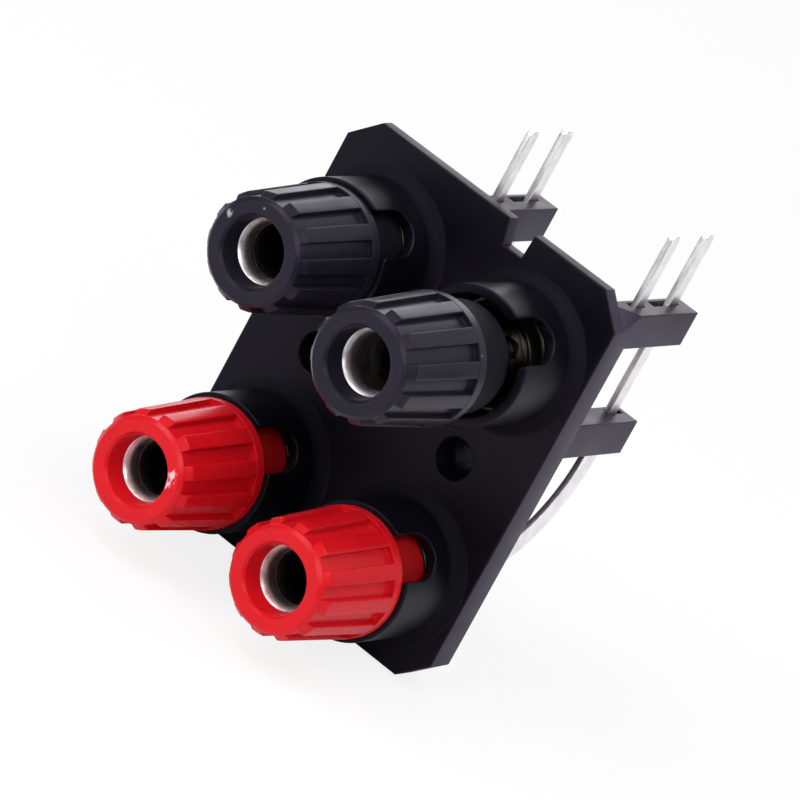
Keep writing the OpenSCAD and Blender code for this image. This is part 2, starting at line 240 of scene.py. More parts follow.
# %% Group: moulded skin
GRAIN_SHARE = 0.35
skin, given = shader_group(
    "moulded_skin",
    [("Vector", VECTOR, None), ("Grain", FLOAT, 9000.0), ("Patches", FLOAT, 300.0)],
    ["Height", "Patch"])
grain = noise(skin, given["Vector"], given["Grain"], 3.0)
patch = noise(skin, given["Vector"], given["Patches"], 2.0)
add(skin, "NodeGroupOutput", {
    "Height": calc(skin, "ADD", calc(skin, "MULTIPLY", grain, GRAIN_SHARE), patch),
    "Patch": ramp(skin, patch, 0.3, 0.7)})
print("group:", skin.name)

# %% [markdown]
# Dust shows as rare pale specks on dark plastic. A Voronoi texture scatters one point
# in each small cell; a speck is drawn only where the cell's random colour is high, so
# most cells stay clean.

# %% Group: dust specks
SPECK_SIZE = 0.09
dust, given = shader_group(
    "dust_specks",
    [("Vector", VECTOR, None), ("Cells", FLOAT, 900.0), ("Share", FLOAT, 0.12)], ["Mask"])
cells = add(dust, "ShaderNodeTexVoronoi", {
    "Vector": given["Vector"], "Scale": given["Cells"]}).outputs
chance = add(dust, "ShaderNodeSeparateColor", {"Color": cells["Color"]}).outputs
close = calc(dust, "LESS_THAN", cells["Distance"], calc(dust, "MULTIPLY", chance[1], SPECK_SIZE))
chosen = calc(dust, "GREATER_THAN", chance[0], calc(dust, "SUBTRACT", 1.0, given["Share"]))
add(dust, "NodeGroupOutput", {"Mask": calc(dust, "MULTIPLY", close, chosen)})
print("group:", dust.name)

# %% [markdown]
# A rubbed mark is a patch of short pale scratches round one point. The distance from
# that point fades it out, and a stretched noise breaks it into strokes.

# %% Group: rubbed mark
NEAR_SHARE = 0.6
rub, given = shader_group(
    "rubbed_mark",
    [("Vector", VECTOR, None), ("Centre", VECTOR, (0.0, 0.0, 0.0)), ("Reach", FLOAT, 0.001)],
    ["Mask"])
away = add(rub, "ShaderNodeVectorMath", {0: given["Vector"], 1: given["Centre"]},
           operation="DISTANCE").outputs["Value"]
stretched = add(rub, "ShaderNodeMapping", {
    "Vector": given["Vector"], "Rotation": (0.0, radians(35), 0.0),
    "Scale": (1.0, 1.0, 0.25)}).outputs["Vector"]
strokes = noise(rub, stretched, 7000.0, 3.0)
near = calc(rub, "SUBTRACT", 1.0, calc(rub, "DIVIDE", away, given["Reach"]), clamp=True)
strength = calc(rub, "ADD", calc(rub, "MULTIPLY", near, NEAR_SHARE), strokes)
add(rub, "NodeGroupOutput", {"Mask": ramp(rub, strength, 0.82, 1.02)})
print("group:", rub.name)

# %% [markdown]
# Turned, rolled or cut metal has fine lines along one direction. One noise texture,
# squeezed along that direction by the caller's Mapping node, gives the lines; a second
# one, unsqueezed, gives the soft stains that handling leaves.

# %% Group: worked metal
worked, given = shader_group(
    "worked_metal", [("Lines", VECTOR, None), ("Place", VECTOR, None)],
    ["Height", "Line", "Stain"])
lines = noise(worked, given["Lines"], 1.0, 4.0)
stains = noise(worked, given["Place"], 700.0, 4.0)
add(worked, "NodeGroupOutput", {
    "Height": lines, "Line": ramp(worked, lines, 0.35, 0.65),
    "Stain": ramp(worked, stains, 0.42, 0.66)})
print("group:", worked.name)

# %% [markdown]
# The plastics. Each is a Principled shader whose colour is mixed from a dark and a light
# tone by the soft patches, with dust and rubbed marks on top; roughness follows the
# patches and the marks. A mark is placed by a point of the block, so it shows only on the
# knob that carries it. Where painted light or shade follows the shape, the mesh brings an
# attribute that the finish reads, which can also add roughness: `stem` paints shade on the
# stem of a knob, down in its cup, and dulls it; another paints a pale sheen on the sides
# of plate and arms that face right and up; `foot` paints a little shade on the foot of a
# cup and makes it matt.

# %% Plastic finishes
SKIN_BUMP, SKIN_DEPTH, MARK_ROUGH = 0.30, 0.00002, 0.3
COOL_GLINT = (0.84, 0.80, 1.0, 1.0)


def colour_mix(tree, mask, under, over):
    tones = [(*tone, 1.0) if isinstance(tone, tuple) else tone for tone in (under, over)]
    return add(tree, "ShaderNodeMix", {"Factor": mask, 6: tones[0], 7: tones[1]},
               data_type="RGBA").outputs[2]


def place_group(tree, group, **values):
    return add(tree, "ShaderNodeGroup", values, node_tree=group).outputs


def new_finish(name):
    made = bpy.data.materials.new(name)
    made.use_nodes = True
    tree = made.node_tree
    place = add(tree, "ShaderNodeTexCoord").outputs["Object"]
    return made, tree, tree.nodes["Principled BSDF"].inputs, place


def dress(tree, shader, colour, roughness, height, bump, depth):
    bumps = add(tree, "ShaderNodeBump", {"Height": height, "Strength": bump, "Distance": depth})
    tree.links.new(colour, shader["Base Color"])
    tree.links.new(roughness, shader["Roughness"])
    tree.links.new(bumps.outputs["Normal"], shader["Normal"])


def plastic(name, deep, pale, rough, dust_colour, dust_share, painted_light_parts, marks=(), mark_colour=None):
    made, tree, shader, place = new_finish(name)
    surface = place_group(tree, skin, Vector=place)
    specks = place_group(tree, dust, Vector=place, Share=dust_share)
    colour = colour_mix(tree, surface["Patch"], deep, pale)
    colour = colour_mix(tree, specks["Mask"], colour, dust_colour)
    roughness = ramp(tree, surface["Patch"], 0.0, 1.0, *rough)
    changes = []
    for centre, reach in marks:
        mark = place_group(tree, rub, Vector=place, Reach=reach * MM,
                           Centre=tuple(v * MM for v in centre))
        changes.append((mark["Mask"], mark_colour, MARK_ROUGH))
    # Each entry is painted light or shade that follows the shape, with its extra roughness.
    for part, part_colour, duller in painted_light_parts:
        share = add(tree, "ShaderNodeAttribute", attribute_name=part).outputs["Fac"]
        changes.append((share, part_colour, duller))
    for mask, tone, rougher in changes:
        colour = colour_mix(tree, mask, colour, tone)
        roughness = calc(tree, "ADD", roughness, calc(tree, "MULTIPLY", mask, rougher))
    dress(tree, shader, colour, roughness, surface["Height"], SKIN_BUMP, SKIN_DEPTH)
    return made, shader


# Of the two shaped tones below, the pale one is a painted sheen on sides facing right and up, and
# the darker one is painted shade on each cup's matt foot.
body_black, shader = plastic(
    "black_moulding", (0.0018, 0.0015, 0.0032), (0.0028, 0.0024, 0.0048), (0.36, 0.46),
    (0.16, 0.16, 0.18), 0.04,
    [("painted_side_sheen", (0.036, 0.032, 0.048), 0.0), ("foot", (0.0016, 0.0014, 0.0028), 0.35)])
shader["Specular IOR Level"].default_value = 0.18
shader["Specular Tint"].default_value = COOL_GLINT
# The stem tone in this finish is painted shade from the cup.
knob_black, shader = plastic(
    "black_knob_plastic", (0.0095, 0.0085, 0.0140), (0.0125, 0.0112, 0.0180), (0.28, 0.38),
    (0.18, 0.18, 0.20), 0.05, [("stem", (0.0020, 0.0018, 0.0030), 0.35)],
    [((-10.2, -16.6, 10.9), 0.6)], (0.34, 0.34, 0.37))
shader["Specular IOR Level"].default_value = 0.20
shader["Specular Tint"].default_value = COOL_GLINT
# The stem tone in this finish is painted shade from the cup.
knob_red, shader = plastic(
    "red_knob_plastic", (0.57, 0.0050, 0.0100), (0.63, 0.0070, 0.0130), (0.24, 0.34),
    (0.85, 0.45, 0.45), 0.03, [("stem", (0.30, 0.0010, 0.0022), 0.35)],
    [((-4.18, -16.6, -8.1), 0.8), ((-4.32, -16.6, -8.8), 0.8)], (0.72, 0.50, 0.52))
shader["Specular IOR Level"].default_value = 0.17
shader["Subsurface Weight"].default_value = 0.05
shader["Subsurface Radius"].default_value = (0.0006, 0.0001, 0.0001)
print("finishes:", body_black.name, knob_black.name, knob_red.name)

# %% [markdown]
# The metals. Bushes, posts and nuts are turned and nickel plated, so their lines run
# round the post's axis: they change along Y only. They have aged differently, which takes
# three finishes. The nuts are clean. The bushes have small dark pits, made with the dust
# group. The posts are dull and tarnished, and inside the cup they also get painted shade:
# near black on the thread and the flange, and a paler dark in the socket. A mask made from
# the distance to the nearest post axis places that. The contact strips are stamped from
# rolled sheet and tinned, which is paler and softer.

# %% Metal finishes
CUP_FLOOR, MASK_SOFT, STAIN_ROUGH, LINE_DEPTH = 1.6, 0.03, 0.08, 0.00001
PIT_CELLS, PIT_COLOUR = 1800.0, (0.05, 0.04, 0.04)
TURNED, ROLLED = (300.0, 16000.0, 300.0), (9000.0, 9000.0, 500.0)


def cup_shade_mask(tree, place, radius):
    at = add(tree, "ShaderNodeSeparateXYZ", {0: place}).outputs
    across = calc(tree, "SUBTRACT", calc(tree, "ABSOLUTE", at["X"]), COLUMN * MM)
    height = calc(tree, "SUBTRACT", calc(tree, "ABSOLUTE", at["Z"]), ROW * MM)
    off_axis = calc(tree, "SQRT", calc(tree, "ADD", calc(tree, "MULTIPLY", across, across),
                                       calc(tree, "MULTIPLY", height, height)))
    inner = ramp(tree, off_axis, radius * MM, (radius + MASK_SOFT) * MM, 1.0, 0.0)
    in_cup = ramp(tree, at["Y"], -CUP_FLOOR * MM, (0.1 - CUP_FLOOR) * MM, 1.0, 0.0)
    return calc(tree, "MULTIPLY", inner, in_cup)


def metal(name, bright, dull, rough, line_scale, bump, tarnish_and_shade=(), pits=0.0):
    made, tree, shader, place = new_finish(name)
    squeezed = add(tree, "ShaderNodeMapping", {"Vector": place, "Scale": line_scale})
    surface = place_group(tree, worked, Lines=squeezed.outputs["Vector"], Place=place)
    colour = colour_mix(tree, surface["Stain"], bright, dull)
    # Painted shade: round each post's axis, in front of the cup's floor, the colour is darkened.
    for radius, shaded_tone in tarnish_and_shade:
        colour = colour_mix(tree, cup_shade_mask(tree, place, radius), colour, shaded_tone)
    if pits:
        holes = place_group(tree, dust, Vector=place, Cells=PIT_CELLS, Share=pits)
        colour = colour_mix(tree, holes["Mask"], colour, PIT_COLOUR)
    roughness = calc(tree, "ADD", ramp(tree, surface["Line"], 0.0, 1.0, *rough),
                     calc(tree, "MULTIPLY", surface["Stain"], STAIN_ROUGH))
    dress(tree, shader, colour, roughness, surface["Height"], bump, LINE_DEPTH)
    shader["Metallic"].default_value = 1.0
    return made


nickel = metal("turned_nickel", (0.64, 0.61, 0.58), (0.44, 0.40, 0.36), (0.18, 0.26), TURNED, 0.12)
# The posts' two near-axis tones are painted shade inside the cup, over a dull tarnish.
post_nickel = metal(
    "tarnished_shaded_nickel", (0.42, 0.40, 0.38), (0.27, 0.25, 0.23), (0.26, 0.34), TURNED, 0.12,
    tarnish_and_shade=[(4.0, (0.024, 0.021, 0.017)), (2.3, (0.16, 0.14, 0.13))])
bush_nickel = metal("worn_nickel", (0.90, 0.88, 0.89), (0.46, 0.39, 0.35), (0.30, 0.42), TURNED,
                    0.30, pits=0.4)
tinned = metal("tinned_sheet", (0.92, 0.91, 0.90), (0.84, 0.83, 0.82), (0.30, 0.42), ROLLED, 0.25)
print("finishes:", nickel.name, post_nickel.name, bush_nickel.name, tinned.name)

# %% [markdown]
# Most of the pieces are round about their post, so they are turned: a path in the plane
# of radius and distance from the plate is spun round the axis. Real edges are never
# sharp, and a small round at each edge is what catches the light, so every corner of a
# path carries its own radius. The extra point close to each round keeps the flat faces
# beside it evenly shaded.

# %% Turning a path


def rounded(corners, steps=4, hold=0.03):
    path = []
    for i, (x, y, radius) in enumerate(corners):
        p = np.array((x, y), float)
        a = np.array(corners[i - 1][:2], float) - p
        b = np.array(corners[(i + 1) % len(corners)][:2], float) - p
        if radius <= 0:
            path.append(p)
            continue
        a /= np.linalg.norm(a)
        b /= np.linalg.norm(b)
        half = acos(np.clip(a @ b, -1, 1)) / 2
        cut = radius / tan(half)
        centre = p + (a + b) / np.linalg.norm(a + b) * radius / sin(half)
        start, stop = p + a * cut - centre, p + b * cut - centre
        first = atan2(start[1], start[0])
        sweep = (atan2(stop[1], stop[0]) - first + pi) % (2 * pi) - pi
        path.append(p + a * (cut + hold))
        for k in range(steps + 1):
            at = first + sweep * k / steps
            path.append(centre + radius * np.array((cos(at), sin(at))))
        path.append(p + b * (cut + hold))
    return path


def turned(path, steps=96):
    verts, rings, faces = [], [], []
    for r, f in path:
        count = steps if r > 1e-6 else 1
        rings.append(list(range(len(verts), len(verts) + count)))
        verts += [(r * cos(2 * pi * k / steps), r * sin(2 * pi * k / steps), f)
                  for k in range(count)]
    for i, low in enumerate(rings):
        high = rings[(i + 1) % len(rings)]
        if len(low) == 1 and len(high) == 1:
            continue
        for k in range(steps):
            quad = [low[k % len(low)], low[(k + 1) % len(low)],
                    high[(k + 1) % len(high)], high[k % len(high)]]
            faces.append([v for n, v in enumerate(quad) if v not in quad[:n]])
    return verts, faces


def solid(name, verts, faces, crease=38):
    mesh = bpy.data.meshes.new(name)
    mesh.from_pydata([tuple(float(c) * MM for c in v) for v in verts], [], faces)
    tidy(mesh, crease)
    return mesh


def tidy(mesh, crease=38):
    bm = bmesh.new()
    bm.from_mesh(mesh)
    bmesh.ops.remove_doubles(bm, verts=bm.verts, dist=1e-8)
    bmesh.ops.recalc_face_normals(bm, faces=bm.faces)
    bm.to_mesh(mesh)
    bm.free()
    mesh.shade_smooth()
    mesh.set_sharp_from_angle(angle=radians(crease))


print("turning helpers ready")

# %% [markdown]
# The knob's core: a stem that goes down into the cup, a round collar, the tapered part that
# carries the ribs, a face with a bevelled outer edge, and a recess that narrows towards the
# metal bush. It is drawn upright, with the post's axis along Z, and set in place later. The
# stem stands in the shade of its cup, so it gets a painted shade and is duller than the
# rest: its points carry the `stem` attribute that the finish reads.

# %% Knob core
STEM_R, COLLAR_R, FLUTE_BACK_R, FLUTE_FRONT_R = 4.2, 4.95, 4.5, 4.05
STEM_END, COLLAR_BACK, COLLAR_FRONT, FACE, FACE_BEVEL = 2.7, 6.95, 7.95, 16.65, 0.3
MOUTH_R, MOUTH_DEEP, RECESS_R, RECESS_FLOOR_R = 2.84, 0.25, 2.64, 2.45
BUSH_FRONT, BUSH_R, BUSH_GAP = 14.7, 3.5, 0.03
knob_core = solid("knob_core", *turned(rounded([
    (BUSH_R + BUSH_GAP, STEM_END, 0.10), (STEM_R, STEM_END, 0.25), (STEM_R, COLLAR_BACK, 0.06),
    (COLLAR_R, COLLAR_BACK, 0.12), (COLLAR_R, COLLAR_FRONT, 0.05),
    (FLUTE_BACK_R, COLLAR_FRONT, 0.06), (FLUTE_FRONT_R, FACE - FACE_BEVEL, 0.12),
    (FLUTE_FRONT_R - FACE_BEVEL, FACE, 0.08), (MOUTH_R, FACE, 0.08),
    (RECESS_R, FACE - MOUTH_DEEP, 0.20), (RECESS_FLOOR_R, BUSH_FRONT, 0.06),
    (BUSH_R + BUSH_GAP, BUSH_FRONT, 0.0)], steps=6), steps=120))
# Painted shade: the stem's points, down in the cup, get a darker and duller tone.
stem_shade = knob_core.attributes.new("stem", "FLOAT", "POINT")
for mark, corner in zip(stem_shade.data, knob_core.vertices):
    mark.value = 1.0 if corner.co.z < (COLLAR_BACK - 0.01) * MM else 0.0
print("knob core faces:", len(knob_core.polygons))

# %% [markdown]
# One grip rib. It is a loft: the same rounded cross-section at many distances along the
# knob, lower at the front than at the back, with a sloped front end that dies into the
# core. Its foot is sunk in the core and its back end in the collar, so no gap can show.
# The helper that joins one ring of points to the next serves the post and the cup too.

# %% One rib
RIB_BACK_R, RIB_FRONT_R, RIB_FOOT_R = 4.93, 4.48, 4.0
RIB_TOP, RIB_END, RIB_HALF = 15.75, 16.35, radians(7.5)
RIB_SOFT, RIB_SINK, RIB_FLAT = 0.05, 0.15, 0.35


def rib_height(f):
    along = (f - COLLAR_FRONT) / (RIB_TOP - COLLAR_FRONT)
    body = RIB_BACK_R + (RIB_FRONT_R - RIB_BACK_R) * along
    nose = RIB_FOOT_R + (RIB_FRONT_R - RIB_FOOT_R) * (RIB_END - f) / (RIB_END - RIB_TOP)
    mix = min(max(0.5 + 0.5 * (nose - body) / RIB_SOFT, 0), 1)
    return nose * (1 - mix) + body * mix - RIB_SOFT * mix * (1 - mix)


def rib_section(f, edge=0.08):
    top = min(rib_height(f), COLLAR_R - 0.02)
    foot = RIB_FOOT_R - RIB_SINK
    side = []
    for k in range(5):
        turn = pi / 2 * k / 4
        side.append((top - edge + edge * sin(turn),
                     RIB_HALF - (edge - edge * cos(turn)) / top))
    outline = [(foot, RIB_HALF)] + side + [(top, RIB_HALF * RIB_FLAT), (top, -RIB_HALF * RIB_FLAT)]
    outline += [(r, -a) for r, a in reversed(side)] + [(foot, -RIB_HALF)]
    return [(r * cos(a), r * sin(a), f) for r, a in outline]


def loft(rings, shut=False):
    size, count = len(rings[0]), len(rings)
    faces = [[i * size + k, i * size + (k + 1) % size,
              (i + 1) % count * size + (k + 1) % size, (i + 1) % count * size + k]
             for i in range(count if shut else count - 1) for k in range(size)]
    if not shut:
        faces += [list(range(size)), list(range((count - 1) * size, count * size))]
    return [v for ring in rings for v in ring], faces


stations = [7.7, 7.95, 10.0, 12.0, 14.0, 15.2, 15.5, 15.62, 15.68, 15.74, 15.8, 15.88, 15.98,
            16.1, 16.25, 16.35, 16.4]
rib_mesh = solid("grip_rib", *loft([rib_section(f) for f in stations]))
print("rib faces:", len(rib_mesh.polygons))

# %% [markdown]
# Twelve equal ribs stand round the core, which is a job for Geometry Nodes: the rib is
# copied onto as many points as there are ribs, each copy turned by its share of the
# circle, and the whole knob is then tipped forward and moved to its post. One tree makes
# all four knobs; only its named inputs differ.

# %% Tree: ribbed knob
TIPPED = (pi / 2, 0, 0)
OBJECT, MATERIAL, GEOMETRY = "NodeSocketObject", "NodeSocketMaterial", "NodeSocketGeometry"


def geometry_tree(name, inputs):
    tree = bpy.data.node_groups.new(name, "GeometryNodeTree")
    tree.interface.new_socket("Geometry", in_out="INPUT", socket_type=GEOMETRY)
    keys = {}
    for label, kind in inputs:
        keys[label] = tree.interface.new_socket(label, in_out="INPUT", socket_type=kind).identifier
    tree.interface.new_socket("Geometry", in_out="OUTPUT", socket_type=GEOMETRY)
    return tree, keys, add(tree, "NodeGroupInput").outputs


def copies_of(tree, piece, points, **more):
    source = add(tree, "GeometryNodeObjectInfo", {"Object": piece}).outputs["Geometry"]
    return add(tree, "GeometryNodeInstanceOnPoints", {
        "Points": points.outputs["Mesh"], "Instance": source, **more}).outputs["Instances"]


def join(tree, *parts):
    made = add(tree, "GeometryNodeJoinGeometry")
    for part in parts:
        tree.links.new(part, made.inputs[0])
    return made.outputs[0]


def end_tree(tree, geometry, finish):
    real = add(tree, "GeometryNodeRealizeInstances", {0: geometry})
    coat = add(tree, "GeometryNodeSetMaterial", {"Geometry": real.outputs[0], "Material": finish})
    add(tree, "NodeGroupOutput", {"Geometry": coat.outputs[0]})


def baked(piece):
    graph = bpy.context.evaluated_depsgraph_get()
    return bpy.data.meshes.new_from_object(piece.evaluated_get(graph))


def grow(name, mesh, tree, keys, **values):
    source = show(name, mesh)
    step = source.modifiers.new("grow", "NODES")
    step.node_group = tree
    for label, value in values.items():
        step[keys[label.replace("_", " ")]] = value
    result = baked(source)
    source.modifiers.remove(step)
    source.data = result
    tidy(result)
    return source


knob_tree, knob_keys, given = geometry_tree("ribbed_knob", [
    ("Rib", OBJECT), ("Rib Count", "NodeSocketInt"), ("Rib Turn", FLOAT), ("Place", VECTOR),
    ("Finish", MATERIAL)])
spots = add(knob_tree, "GeometryNodeMeshLine", {"Count": given["Rib Count"], "Offset": (0, 0, 0)})
number = add(knob_tree, "GeometryNodeInputIndex").outputs[0]
share = calc(knob_tree, "DIVIDE", 2 * pi, given["Rib Count"])
angle = calc(knob_tree, "ADD", calc(knob_tree, "MULTIPLY", number, share), given["Rib Turn"])
spin = add(knob_tree, "ShaderNodeCombineXYZ", {"Z": angle}).outputs[0]
ribs = copies_of(knob_tree, given["Rib"], spots, Rotation=spin)
tip = add(knob_tree, "GeometryNodeTransform", {
    "Geometry": join(knob_tree, given["Geometry"], ribs), "Translation": given["Place"],
    "Rotation": TIPPED})
end_tree(knob_tree, tip.outputs[0], given["Finish"])
print("tree:", knob_tree.name, "inputs:", list(knob_keys))

# %% [markdown]
# The tree is run once for each post. Place, turn of the ribs and finish come from that
# post; the loose rib is removed afterwards, because each knob now has its own copies.

# %% Four knobs
rib_source = show("rib_source", rib_mesh)
knobs = {}
for post, (x, z, out, turn) in POSTS.items():
    knobs[post] = grow("grip_knob_" + post, knob_core.copy(), knob_tree, knob_keys,
                       Rib=rib_source, Rib_Count=12, Rib_Turn=radians(turn),
                       Place=(x * MM, -out * MM, z * MM),
                       Finish=knob_black if post.startswith("black") else knob_red)
    print("knob", post, "faces:", len(knobs[post].data.polygons))
bpy.data.objects.remove(rib_source)

# %% [markdown]
# The bush is the metal sleeve inside the knob. Only its front lip shows, at the bottom of
# the recess. The lip's mouth is one large smooth round, so the light runs over it as a
# bright ring. Behind the lip the bush widens to the screw thread.

# %% Bushes
LIP_R, LIP_BACK, LIP_FRONT, LIP_ROUND = 2.1, 13.4, 14.35, 1.0
THREAD_BORE, BUSH_BACK = 3.05, 2.8
bush_mesh = solid("bush", *turned(rounded([
    (THREAD_BORE, BUSH_BACK, 0.05), (BUSH_R, BUSH_BACK, 0.08), (BUSH_R, BUSH_FRONT, 0.0),
    (RECESS_FLOOR_R, BUSH_FRONT, 0.04), (LIP_R, LIP_FRONT, LIP_ROUND), (LIP_R, LIP_BACK, 0.05),
    (THREAD_BORE, LIP_BACK, 0.05)], steps=8), steps=96))


def seat(name, mesh, post, finish, lift=0.0):
    x, z = POSTS[post][:2]
    made = mesh.copy()
    made.transform(Matrix.Translation((x * MM, -lift * MM, z * MM))
                   @ Matrix.Rotation(pi / 2, 4, "X"))
    made.materials.clear()
    made.materials.append(finish)
    return show(name, made)


bushes = {post: seat("metal_bush_" + post, bush_mesh, post, bush_nickel, POSTS[post][2])
          for post in POSTS}
print("bush faces:", len(bush_mesh.polygons))

# %% [markdown]
# The post is a threaded tube with a flange and a threaded tail. A screw thread is a
# rule: at each angle the groove has moved on by that share of the pitch. So the post is
# a stack of rings whose radius rises and falls with distance and angle together, which
# gives one closed skin. The wire hole is then cut across it with a Boolean.

# %% Threaded post
POST_R, BORE_R, TIP, BORE_FLOOR, FLANGE_R, TAIL_R = 3.0, 2.0, 13.3, 2.9, 4.28, 1.95
POST_PITCH, POST_GROOVE, TAIL_PITCH, TAIL_GROOVE = 1.0, 0.38, 0.7, 0.28
POST_START, POST_STOP, TAIL_START, TAIL_STOP, FADE = 2.75, 13.0, -5.8, -2.7, 0.5
SIDES, THREAD_CREASE = 72, 50


def thread(f, start, stop, pitch, depth, angle_share):
    wave = abs(((f / pitch - angle_share) % 1.0) - 0.5) * 2
    fade = min(max((f - start) / FADE, 0), 1) * min(max((stop - f) / FADE, 0), 1)
    return depth * fade * min(max(wave * 1.3 - 0.1, 0), 1)


def post_ring(r, f):
    ring = []
    for k in range(SIDES):
        cut = 0.0
        if r == POST_R and f > POST_START:
            cut = thread(f, POST_START, POST_STOP, POST_PITCH, POST_GROOVE, k / SIDES)
        elif r == TAIL_R and f < 0:
            cut = thread(f, TAIL_START, TAIL_STOP, TAIL_PITCH, TAIL_GROOVE, k / SIDES)
        at = 2 * pi * k / SIDES
        ring.append(((r - cut) * cos(at), (r - cut) * sin(at), f))
    return ring


post_path = [(1.5, -6.1), (1.62, -6.1), (TAIL_R, -5.75)]
post_path += [(TAIL_R, f) for f in np.arange(-5.7, -2.8, 0.07)]
post_path += [(TAIL_R, CUP_FLOOR), (4.2, CUP_FLOOR), (FLANGE_R, 1.68), (FLANGE_R, 2.5), (4.2, 2.6),
              (3.15, 2.6), (POST_R, 2.72)]
post_path += [(POST_R, f) for f in np.arange(2.8, 12.95, 0.1)]
post_path += [(POST_R, 12.98), (2.72, TIP), (2.06, TIP), (BORE_R, 13.22), (BORE_R, 9.0),
              (BORE_R, 6.0), (BORE_R, 3.6), (BORE_R, BORE_FLOOR)]
post_mesh = solid("post", *loft([post_ring(r, f) for r, f in post_path]), THREAD_CREASE)
WIRE_F, WIRE_R, SLOT_TURN = 4.7, 0.9, radians(45)
drill_mesh = solid("drill", *turned([(0, -4), (WIRE_R, -4), (WIRE_R, 4), (0, 4)], steps=40))
drill_mesh.transform(Matrix.Translation((0, 0, WIRE_F * MM)) @ Matrix.Rotation(SLOT_TURN, 4, "Z")
                     @ Matrix.Rotation(pi / 2, 4, "Y"))


def cut_away(mesh, tool, crease=38):
    blank, cutter = show("blank", mesh), show("cutter", tool)
    step = blank.modifiers.new("cut", "BOOLEAN")
    step.operation, step.solver, step.object = "DIFFERENCE", "EXACT", cutter
    result = baked(blank)
    for spare in (blank, cutter):
        bpy.data.objects.remove(spare)
    tidy(result, crease)
    return result


bored = cut_away(post_mesh, drill_mesh, THREAD_CREASE)
posts = {post: seat("threaded_post_" + post, bored, post, post_nickel) for post in POSTS}
print("post faces:", len(bored.polygons))

# %% [markdown]
# Flat pieces, such as the plate, the arms, the strips and the nuts, are slabs: an
# outline with holes, given a thickness and a small round along every edge. The round is
# made by stepping the outline inwards while the height goes up, and the flat ends are
# filled by a constrained Delaunay triangulation that respects the holes.

# %% Slabs with rounded edges


def circle(x, y, r, steps=48, hole=False):
    turns = np.arange(steps) * 2 * pi / steps * (-1 if hole else 1)
    return np.stack([x + r * np.cos(turns), y + r * np.sin(turns)], 1)


def inward(loop):
    before, after = loop - np.roll(loop, 1, 0), np.roll(loop, -1, 0) - loop
    n1 = np.stack([-before[:, 1], before[:, 0]], 1) / np.linalg.norm(before, axis=1)[:, None]
    n2 = np.stack([-after[:, 1], after[:, 0]], 1) / np.linalg.norm(after, axis=1)[:, None]
    return (n1 + n2) / (1 + (n1 * n2).sum(1))[:, None]


def slab(loops, low, high, edge, steps=3, hold=0.03, across=()):
    levels = [(low, edge + hold)]
    levels += [(low + edge * (1 - cos(a)), edge * (1 - sin(a)))
               for a in np.linspace(0, pi / 2, steps + 1)]
    levels += [(low + high - h, o) for h, o in reversed(levels)]
    verts, faces, caps = [], [], {0: [], len(levels) - 1: []}
    for loop in loops:
        move, count, start = inward(loop), len(loop), len(verts)
        for level, (h, o) in enumerate(levels):
            ring = loop + move * o
            if level in caps:
                caps[level].append((len(verts), ring))
            verts += [(p[0], p[1], h) for p in ring]
        for level in range(len(levels) - 1):
            for k in range(count):
                a, b = start + level * count, start + (level + 1) * count
                faces.append([a + k, a + (k + 1) % count, b + (k + 1) % count, b + k])
    for rings in caps.values():
        flat, edges, index = [], [], []
        for first, ring in rings:
            base = len(flat)
            flat += [Vector((float(p[0]), float(p[1]))) for p in ring]
            index += list(range(first, first + len(ring)))
            edges += [(base + k, base + (k + 1) % len(ring)) for k in range(len(ring))]
        edges += list(across)
        _, _, tris, origin, _, _ = delaunay_2d_cdt(flat, edges, [], 1, 1e-6)
        for tri in tris:
            keys = [origin[v][0] for v in tri]
            middle = sum((flat[k] for k in keys), Vector((0, 0))) / 3
            in_hole = any(inside(middle, hole) for _, hole in rings[1:])
            if inside(middle, rings[0][1]) and not in_hole:
                faces.append([index[k] for k in keys])
    return verts, faces


def inside(point, ring):
    x, y = ring[:, 0], ring[:, 1]
    x2, y2 = np.roll(x, -1), np.roll(y, -1)
    crosses = (y > point.y) != (y2 > point.y)
    with np.errstate(divide="ignore", invalid="ignore"):
        at = (x2 - x) * (point.y - y) / (y2 - y) + x
    return bool(np.count_nonzero(crosses & (point.x < at)) % 2)


print("slab helper ready")

# %% [markdown]
# The plate: a rectangle with cut corners and a small drafted notch in its top edge, two
# screw holes between the rows, and a hole for each post's tail. Along its top it is less
# than half as thick, which a Boolean cut from behind gives.

# %% Plate
PLATE_X, PLATE_LOW, PLATE_TOP, PLATE_T, CORNER = 13.6, -16.5, 17.7, 2.7, 2.3
SCREW_X, LEAD_R, TAIL_HOLE, NOTCH_Z = 7.05, 1.6, 2.0, 15.7
TOP_T, TOP_H, PLATE_EDGE = 1.2, 3.4, 0.14
outline = np.array([
    (-PLATE_X + CORNER, PLATE_LOW), (PLATE_X - CORNER, PLATE_LOW), (PLATE_X, PLATE_LOW + CORNER),
    (PLATE_X, PLATE_TOP - CORNER), (PLATE_X - CORNER, PLATE_TOP), (4.1, PLATE_TOP),
    (3.975, NOTCH_Z), (2.2, NOTCH_Z), (1.7, PLATE_TOP), (-PLATE_X + CORNER, PLATE_TOP),
    (-PLATE_X, PLATE_TOP - CORNER), (-PLATE_X, PLATE_LOW + CORNER)])
holes = [circle(s * SCREW_X, 0, LEAD_R, hole=True) for s in (-1, 1)]
holes += [circle(x, z, TAIL_HOLE, hole=True) for x, z, _, _ in POSTS.values()]
verts, faces = slab([outline] + holes, -PLATE_T, 0, PLATE_EDGE)


def prism(name, outline, place):
    count = len(outline)
    verts = [place(end, u, v) for end in (0, 1) for u, v in outline]
    faces = [list(range(count)), list(range(count, 2 * count))]
    faces += [[k, (k + 1) % count, count + (k + 1) % count, count + k] for k in range(count)]
    return solid(name, verts, faces)


